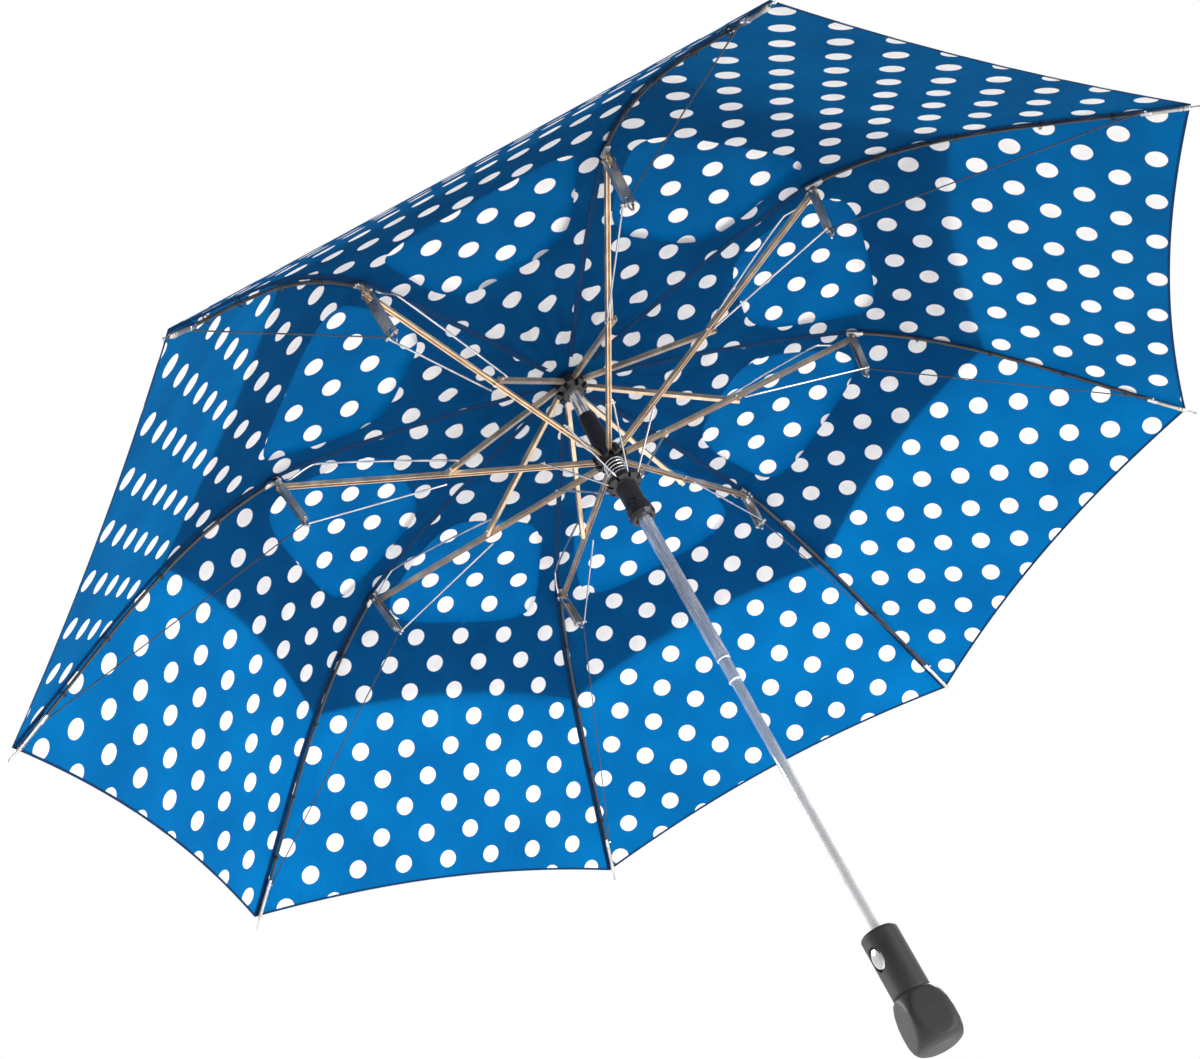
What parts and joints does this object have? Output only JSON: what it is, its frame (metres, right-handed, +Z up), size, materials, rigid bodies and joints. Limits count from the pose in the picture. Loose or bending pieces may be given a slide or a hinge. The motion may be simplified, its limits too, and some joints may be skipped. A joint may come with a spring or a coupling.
{
  "type": "vented folding umbrella",
  "caption": "Open folding umbrella with a double vented cloth canopy on jointed arms, a telescoping shaft, a sliding runner and a push-button handle.",
  "frame": {"origin": "middle of the flat end of the handle, on the shaft's axis", "axes": "+Z up the shaft from the handle to the crown; +X over arm 1"},
  "size_m": [0.9856, 0.9856, 0.637],
  "materials": {
    "soft_touch": "matte soft-touch coating",
    "black_plastic": "moulded satin",
    "chrome": "plated",
    "steel": "pressed and plated",
    "bronze_steel": "pressed, warm lacquer",
    "bright_wire": "drawn bright",
    "spring_steel": "bright wire",
    "fibreglass": "dark resin rod",
    "canopy_cloth": "woven polyester, blue with white dots",
    "vent_cloth": "woven polyester, blue with white dots"
  },
  "bodies": {
    "handle": {"handle_grip": "soft_touch", "lower_tube": "chrome"},
    "push_button": {"push_button": "chrome"},
    "shaft_top": {"top_tube": "chrome", "tube_ferrule": "chrome", "top_notch": "black_plastic", "top_cap": "black_plastic", "canopy": "canopy_cloth", "vent_canopy": "vent_cloth"},
    "runner": {"runner": "black_plastic", "runner_spring": "spring_steel"},
    "assist_collar": {"assist_collar": "black_plastic"},
    "inner_rib_1": {"inner_rib_1": "bronze_steel"},
    "stretcher_1": {"stretcher_1": "bronze_steel"},
    "outer_rib_1": {"outer_rib_1": "fibreglass"},
    "elbow_lever_1": {"elbow_lever_1": "steel"},
    "link_rod_1": {"link_rod_1": "bright_wire"},
    "assist_wire_1": {"assist_wire_1": "bright_wire"},
    "inner_rib_2": {"inner_rib_2": "bronze_steel"},
    "stretcher_2": {"stretcher_2": "bronze_steel"},
    "outer_rib_2": {"outer_rib_2": "fibreglass"},
    "elbow_lever_2": {"elbow_lever_2": "steel"},
    "link_rod_2": {"link_rod_2": "bright_wire"},
    "assist_wire_2": {"assist_wire_2": "bright_wire"},
    "inner_rib_3": {"inner_rib_3": "bronze_steel"},
    "stretcher_3": {"stretcher_3": "bronze_steel"},
    "outer_rib_3": {"outer_rib_3": "fibreglass"},
    "elbow_lever_3": {"elbow_lever_3": "steel"},
    "link_rod_3": {"link_rod_3": "bright_wire"},
    "assist_wire_3": {"assist_wire_3": "bright_wire"},
    "inner_rib_4": {"inner_rib_4": "bronze_steel"},
    "stretcher_4": {"stretcher_4": "bronze_steel"},
    "outer_rib_4": {"outer_rib_4": "fibreglass"},
    "elbow_lever_4": {"elbow_lever_4": "steel"},
    "link_rod_4": {"link_rod_4": "bright_wire"},
    "assist_wire_4": {"assist_wire_4": "bright_wire"},
    "inner_rib_5": {"inner_rib_5": "bronze_steel"},
    "stretcher_5": {"stretcher_5": "bronze_steel"},
    "outer_rib_5": {"outer_rib_5": "fibreglass"},
    "elbow_lever_5": {"elbow_lever_5": "steel"},
    "link_rod_5": {"link_rod_5": "bright_wire"},
    "assist_wire_5": {"assist_wire_5": "bright_wire"},
    "inner_rib_6": {"inner_rib_6": "bronze_steel"},
    "stretcher_6": {"stretcher_6": "bronze_steel"},
    "outer_rib_6": {"outer_rib_6": "fibreglass"},
    "elbow_lever_6": {"elbow_lever_6": "steel"},
    "link_rod_6": {"link_rod_6": "bright_wire"},
    "assist_wire_6": {"assist_wire_6": "bright_wire"},
    "inner_rib_7": {"inner_rib_7": "bronze_steel"},
    "stretcher_7": {"stretcher_7": "bronze_steel"},
    "outer_rib_7": {"outer_rib_7": "fibreglass"},
    "elbow_lever_7": {"elbow_lever_7": "steel"},
    "link_rod_7": {"link_rod_7": "bright_wire"},
    "assist_wire_7": {"assist_wire_7": "bright_wire"},
    "inner_rib_8": {"inner_rib_8": "bronze_steel"},
    "stretcher_8": {"stretcher_8": "bronze_steel"},
    "outer_rib_8": {"outer_rib_8": "fibreglass"},
    "elbow_lever_8": {"elbow_lever_8": "steel"},
    "link_rod_8": {"link_rod_8": "bright_wire"},
    "assist_wire_8": {"assist_wire_8": "bright_wire"}
  },
  "joints": [
    {"name": "shaft_telescope", "type": "slide", "parent": "handle", "child": "shaft_top", "axis": [0, 0, -1], "range_m": [0, 0.216]},
    {"name": "button_press", "type": "slide", "parent": "handle", "child": "push_button", "axis": [-0.342, 0.9397, 0], "range_m": [0, 0.002], "stiffness_N_per_m": 300},
    {"name": "canopy_fold", "type": "slide", "parent": "shaft_top", "child": "runner", "axis": [0, 0, -1], "range_m": [0, 0.16194], "deforming": ["canopy", "vent_canopy", "runner_spring"]},
    {"name": "collar_slide", "type": "slide", "parent": "runner", "child": "assist_collar", "axis": [0, 0, 1], "range_m": [0, 0.01538]},
    {"name": "rib_hinge_1", "type": "hinge", "parent": "shaft_top", "child": "inner_rib_1", "pos_m": [0.012, 0, 0.611], "axis": [0, 1, 0], "range_deg": [0, 61.4]},
    {"name": "stretcher_hinge_1", "type": "hinge", "parent": "runner", "child": "stretcher_1", "pos_m": [0.012, 0, 0.5286], "axis": [0, 1, 0], "range_deg": [-73.75, 0]},
    {"name": "elbow_hinge_1", "type": "hinge", "parent": "stretcher_1", "child": "outer_rib_1", "pos_m": [0.2554, 0, 0.586], "axis": [0, 1, 0], "range_deg": [0, 126.75]},
    {"name": "lever_hinge_1", "type": "hinge", "parent": "stretcher_1", "child": "elbow_lever_1", "pos_m": [0.2554, 0, 0.586], "axis": [0, 1, 0], "range_deg": [0, 60.25]},
    {"name": "link_hinge_1", "type": "hinge", "parent": "elbow_lever_1", "child": "link_rod_1", "pos_m": [0.24743, 0, 0.5468], "axis": [0, 1, 0], "range_deg": [-74.85, 0]},
    {"name": "wire_hinge_1", "type": "hinge", "parent": "stretcher_1", "child": "assist_wire_1", "pos_m": [0.05338, 0, 0.53836], "axis": [0, 1, 0], "range_deg": [0, 28.54]},
    {"name": "rib_hinge_2", "type": "hinge", "parent": "shaft_top", "child": "inner_rib_2", "pos_m": [0.00848, 0.00848, 0.611], "axis": [-0.7071, 0.7071, 0], "range_deg": [0, 61.4]},
    {"name": "stretcher_hinge_2", "type": "hinge", "parent": "runner", "child": "stretcher_2", "pos_m": [0.00848, 0.00848, 0.5286], "axis": [-0.7071, 0.7071, 0], "range_deg": [-73.75, 0]},
    {"name": "elbow_hinge_2", "type": "hinge", "parent": "stretcher_2", "child": "outer_rib_2", "pos_m": [0.1806, 0.1806, 0.586], "axis": [-0.7071, 0.7071, 0], "range_deg": [0, 126.75]},
    {"name": "lever_hinge_2", "type": "hinge", "parent": "stretcher_2", "child": "elbow_lever_2", "pos_m": [0.1806, 0.1806, 0.586], "axis": [-0.7071, 0.7071, 0], "range_deg": [0, 60.25]},
    {"name": "link_hinge_2", "type": "hinge", "parent": "elbow_lever_2", "child": "link_rod_2", "pos_m": [0.17496, 0.17496, 0.5468], "axis": [-0.7071, 0.7071, 0], "range_deg": [-74.85, 0]},
    {"name": "wire_hinge_2", "type": "hinge", "parent": "stretcher_2", "child": "assist_wire_2", "pos_m": [0.03774, 0.03774, 0.53836], "axis": [-0.7071, 0.7071, 0], "range_deg": [0, 28.54]},
    {"name": "rib_hinge_3", "type": "hinge", "parent": "shaft_top", "child": "inner_rib_3", "pos_m": [0, 0.012, 0.611], "axis": [-1, 0, 0], "range_deg": [0, 61.4]},
    {"name": "stretcher_hinge_3", "type": "hinge", "parent": "runner", "child": "stretcher_3", "pos_m": [0, 0.012, 0.5286], "axis": [-1, 0, 0], "range_deg": [-73.75, 0]},
    {"name": "elbow_hinge_3", "type": "hinge", "parent": "stretcher_3", "child": "outer_rib_3", "pos_m": [0, 0.2554, 0.586], "axis": [-1, 0, 0], "range_deg": [0, 126.75]},
    {"name": "lever_hinge_3", "type": "hinge", "parent": "stretcher_3", "child": "elbow_lever_3", "pos_m": [0, 0.2554, 0.586], "axis": [-1, 0, 0], "range_deg": [0, 60.25]},
    {"name": "link_hinge_3", "type": "hinge", "parent": "elbow_lever_3", "child": "link_rod_3", "pos_m": [0, 0.24743, 0.5468], "axis": [-1, 0, 0], "range_deg": [-74.85, 0]},
    {"name": "wire_hinge_3", "type": "hinge", "parent": "stretcher_3", "child": "assist_wire_3", "pos_m": [0, 0.05338, 0.53836], "axis": [-1, 0, 0], "range_deg": [0, 28.54]},
    {"name": "rib_hinge_4", "type": "hinge", "parent": "shaft_top", "child": "inner_rib_4", "pos_m": [-0.00848, 0.00848, 0.611], "axis": [-0.7071, -0.7071, 0], "range_deg": [0, 61.4]},
    {"name": "stretcher_hinge_4", "type": "hinge", "parent": "runner", "child": "stretcher_4", "pos_m": [-0.00848, 0.00848, 0.5286], "axis": [-0.7071, -0.7071, 0], "range_deg": [-73.75, 0]},
    {"name": "elbow_hinge_4", "type": "hinge", "parent": "stretcher_4", "child": "outer_rib_4", "pos_m": [-0.1806, 0.1806, 0.586], "axis": [-0.7071, -0.7071, 0], "range_deg": [0, 126.75]},
    {"name": "lever_hinge_4", "type": "hinge", "parent": "stretcher_4", "child": "elbow_lever_4", "pos_m": [-0.1806, 0.1806, 0.586], "axis": [-0.7071, -0.7071, 0], "range_deg": [0, 60.25]},
    {"name": "link_hinge_4", "type": "hinge", "parent": "elbow_lever_4", "child": "link_rod_4", "pos_m": [-0.17496, 0.17496, 0.5468], "axis": [-0.7071, -0.7071, 0], "range_deg": [-74.85, 0]},
    {"name": "wire_hinge_4", "type": "hinge", "parent": "stretcher_4", "child": "assist_wire_4", "pos_m": [-0.03774, 0.03774, 0.53836], "axis": [-0.7071, -0.7071, 0], "range_deg": [0, 28.54]},
    {"name": "rib_hinge_5", "type": "hinge", "parent": "shaft_top", "child": "inner_rib_5", "pos_m": [-0.012, 0, 0.611], "axis": [0, -1, 0], "range_deg": [0, 61.4]},
    {"name": "stretcher_hinge_5", "type": "hinge", "parent": "runner", "child": "stretcher_5", "pos_m": [-0.012, 0, 0.5286], "axis": [0, -1, 0], "range_deg": [-73.75, 0]},
    {"name": "elbow_hinge_5", "type": "hinge", "parent": "stretcher_5", "child": "outer_rib_5", "pos_m": [-0.2554, 0, 0.586], "axis": [0, -1, 0], "range_deg": [0, 126.75]},
    {"name": "lever_hinge_5", "type": "hinge", "parent": "stretcher_5", "child": "elbow_lever_5", "pos_m": [-0.2554, 0, 0.586], "axis": [0, -1, 0], "range_deg": [0, 60.25]},
    {"name": "link_hinge_5", "type": "hinge", "parent": "elbow_lever_5", "child": "link_rod_5", "pos_m": [-0.24743, 0, 0.5468], "axis": [0, -1, 0], "range_deg": [-74.85, 0]},
    {"name": "wire_hinge_5", "type": "hinge", "parent": "stretcher_5", "child": "assist_wire_5", "pos_m": [-0.05338, 0, 0.53836], "axis": [0, -1, 0], "range_deg": [0, 28.54]},
    {"name": "rib_hinge_6", "type": "hinge", "parent": "shaft_top", "child": "inner_rib_6", "pos_m": [-0.00848, -0.00848, 0.611], "axis": [0.7071, -0.7071, 0], "range_deg": [0, 61.4]},
    {"name": "stretcher_hinge_6", "type": "hinge", "parent": "runner", "child": "stretcher_6", "pos_m": [-0.00848, -0.00848, 0.5286], "axis": [0.7071, -0.7071, 0], "range_deg": [-73.75, 0]},
    {"name": "elbow_hinge_6", "type": "hinge", "parent": "stretcher_6", "child": "outer_rib_6", "pos_m": [-0.1806, -0.1806, 0.586], "axis": [0.7071, -0.7071, 0], "range_deg": [0, 126.75]},
    {"name": "lever_hinge_6", "type": "hinge", "parent": "stretcher_6", "child": "elbow_lever_6", "pos_m": [-0.1806, -0.1806, 0.586], "axis": [0.7071, -0.7071, 0], "range_deg": [0, 60.25]},
    {"name": "link_hinge_6", "type": "hinge", "parent": "elbow_lever_6", "child": "link_rod_6", "pos_m": [-0.17496, -0.17496, 0.5468], "axis": [0.7071, -0.7071, 0], "range_deg": [-74.85, 0]},
    {"name": "wire_hinge_6", "type": "hinge", "parent": "stretcher_6", "child": "assist_wire_6", "pos_m": [-0.03774, -0.03774, 0.53836], "axis": [0.7071, -0.7071, 0], "range_deg": [0, 28.54]},
    {"name": "rib_hinge_7", "type": "hinge", "parent": "shaft_top", "child": "inner_rib_7", "pos_m": [0, -0.012, 0.611], "axis": [1, 0, 0], "range_deg": [0, 61.4]},
    {"name": "stretcher_hinge_7", "type": "hinge", "parent": "runner", "child": "stretcher_7", "pos_m": [0, -0.012, 0.5286], "axis": [1, 0, 0], "range_deg": [-73.75, 0]},
    {"name": "elbow_hinge_7", "type": "hinge", "parent": "stretcher_7", "child": "outer_rib_7", "pos_m": [0, -0.2554, 0.586], "axis": [1, 0, 0], "range_deg": [0, 126.75]},
    {"name": "lever_hinge_7", "type": "hinge", "parent": "stretcher_7", "child": "elbow_lever_7", "pos_m": [0, -0.2554, 0.586], "axis": [1, 0, 0], "range_deg": [0, 60.25]},
    {"name": "link_hinge_7", "type": "hinge", "parent": "elbow_lever_7", "child": "link_rod_7", "pos_m": [0, -0.24743, 0.5468], "axis": [1, 0, 0], "range_deg": [-74.85, 0]},
    {"name": "wire_hinge_7", "type": "hinge", "parent": "stretcher_7", "child": "assist_wire_7", "pos_m": [0, -0.05338, 0.53836], "axis": [1, 0, 0], "range_deg": [0, 28.54]},
    {"name": "rib_hinge_8", "type": "hinge", "parent": "shaft_top", "child": "inner_rib_8", "pos_m": [0.00848, -0.00848, 0.611], "axis": [0.7071, 0.7071, 0], "range_deg": [0, 61.4]},
    {"name": "stretcher_hinge_8", "type": "hinge", "parent": "runner", "child": "stretcher_8", "pos_m": [0.00848, -0.00848, 0.5286], "axis": [0.7071, 0.7071, 0], "range_deg": [-73.75, 0]},
    {"name": "elbow_hinge_8", "type": "hinge", "parent": "stretcher_8", "child": "outer_rib_8", "pos_m": [0.1806, -0.1806, 0.586], "axis": [0.7071, 0.7071, 0], "range_deg": [0, 126.75]},
    {"name": "lever_hinge_8", "type": "hinge", "parent": "stretcher_8", "child": "elbow_lever_8", "pos_m": [0.1806, -0.1806, 0.586], "axis": [0.7071, 0.7071, 0], "range_deg": [0, 60.25]},
    {"name": "link_hinge_8", "type": "hinge", "parent": "elbow_lever_8", "child": "link_rod_8", "pos_m": [0.17496, -0.17496, 0.5468], "axis": [0.7071, 0.7071, 0], "range_deg": [-74.85, 0]},
    {"name": "wire_hinge_8", "type": "hinge", "parent": "stretcher_8", "child": "assist_wire_8", "pos_m": [0.03774, -0.03774, 0.53836], "axis": [0.7071, 0.7071, 0], "range_deg": [0, 28.54]}
  ],
  "couplings": [
    {"joint": "collar_slide", "follows": "canopy_fold", "ratio": 0.094941},
    {"joint": "rib_hinge_1", "follows": "canopy_fold", "rad_per_m": 6.615},
    {"joint": "stretcher_hinge_1", "follows": "canopy_fold", "rad_per_m": -7.9463},
    {"joint": "elbow_hinge_1", "follows": "canopy_fold", "rad_per_m": 13.658},
    {"joint": "lever_hinge_1", "follows": "canopy_fold", "rad_per_m": 6.4913},
    {"joint": "link_hinge_1", "follows": "canopy_fold", "rad_per_m": -8.0652},
    {"joint": "wire_hinge_1", "follows": "canopy_fold", "rad_per_m": 3.0739},
    {"joint": "rib_hinge_2", "follows": "canopy_fold", "rad_per_m": 6.615},
    {"joint": "stretcher_hinge_2", "follows": "canopy_fold", "rad_per_m": -7.9463},
    {"joint": "elbow_hinge_2", "follows": "canopy_fold", "rad_per_m": 13.658},
    {"joint": "lever_hinge_2", "follows": "canopy_fold", "rad_per_m": 6.4913},
    {"joint": "link_hinge_2", "follows": "canopy_fold", "rad_per_m": -8.0652},
    {"joint": "wire_hinge_2", "follows": "canopy_fold", "rad_per_m": 3.0739},
    {"joint": "rib_hinge_3", "follows": "canopy_fold", "rad_per_m": 6.615},
    {"joint": "stretcher_hinge_3", "follows": "canopy_fold", "rad_per_m": -7.9463},
    {"joint": "elbow_hinge_3", "follows": "canopy_fold", "rad_per_m": 13.658},
    {"joint": "lever_hinge_3", "follows": "canopy_fold", "rad_per_m": 6.4913},
    {"joint": "link_hinge_3", "follows": "canopy_fold", "rad_per_m": -8.0652},
    {"joint": "wire_hinge_3", "follows": "canopy_fold", "rad_per_m": 3.0739},
    {"joint": "rib_hinge_4", "follows": "canopy_fold", "rad_per_m": 6.615},
    {"joint": "stretcher_hinge_4", "follows": "canopy_fold", "rad_per_m": -7.9463},
    {"joint": "elbow_hinge_4", "follows": "canopy_fold", "rad_per_m": 13.658},
    {"joint": "lever_hinge_4", "follows": "canopy_fold", "rad_per_m": 6.4913},
    {"joint": "link_hinge_4", "follows": "canopy_fold", "rad_per_m": -8.0652},
    {"joint": "wire_hinge_4", "follows": "canopy_fold", "rad_per_m": 3.0739},
    {"joint": "rib_hinge_5", "follows": "canopy_fold", "rad_per_m": 6.615},
    {"joint": "stretcher_hinge_5", "follows": "canopy_fold", "rad_per_m": -7.9463},
    {"joint": "elbow_hinge_5", "follows": "canopy_fold", "rad_per_m": 13.658},
    {"joint": "lever_hinge_5", "follows": "canopy_fold", "rad_per_m": 6.4913},
    {"joint": "link_hinge_5", "follows": "canopy_fold", "rad_per_m": -8.0652},
    {"joint": "wire_hinge_5", "follows": "canopy_fold", "rad_per_m": 3.0739},
    {"joint": "rib_hinge_6", "follows": "canopy_fold", "rad_per_m": 6.615},
    {"joint": "stretcher_hinge_6", "follows": "canopy_fold", "rad_per_m": -7.9463},
    {"joint": "elbow_hinge_6", "follows": "canopy_fold", "rad_per_m": 13.658},
    {"joint": "lever_hinge_6", "follows": "canopy_fold", "rad_per_m": 6.4913},
    {"joint": "link_hinge_6", "follows": "canopy_fold", "rad_per_m": -8.0652},
    {"joint": "wire_hinge_6", "follows": "canopy_fold", "rad_per_m": 3.0739},
    {"joint": "rib_hinge_7", "follows": "canopy_fold", "rad_per_m": 6.615},
    {"joint": "stretcher_hinge_7", "follows": "canopy_fold", "rad_per_m": -7.9463},
    {"joint": "elbow_hinge_7", "follows": "canopy_fold", "rad_per_m": 13.658},
    {"joint": "lever_hinge_7", "follows": "canopy_fold", "rad_per_m": 6.4913},
    {"joint": "link_hinge_7", "follows": "canopy_fold", "rad_per_m": -8.0652},
    {"joint": "wire_hinge_7", "follows": "canopy_fold", "rad_per_m": 3.0739},
    {"joint": "rib_hinge_8", "follows": "canopy_fold", "rad_per_m": 6.615},
    {"joint": "stretcher_hinge_8", "follows": "canopy_fold", "rad_per_m": -7.9463},
    {"joint": "elbow_hinge_8", "follows": "canopy_fold", "rad_per_m": 13.658},
    {"joint": "lever_hinge_8", "follows": "canopy_fold", "rad_per_m": 6.4913},
    {"joint": "link_hinge_8", "follows": "canopy_fold", "rad_per_m": -8.0652},
    {"joint": "wire_hinge_8", "follows": "canopy_fold", "rad_per_m": 3.0739}
  ]
}
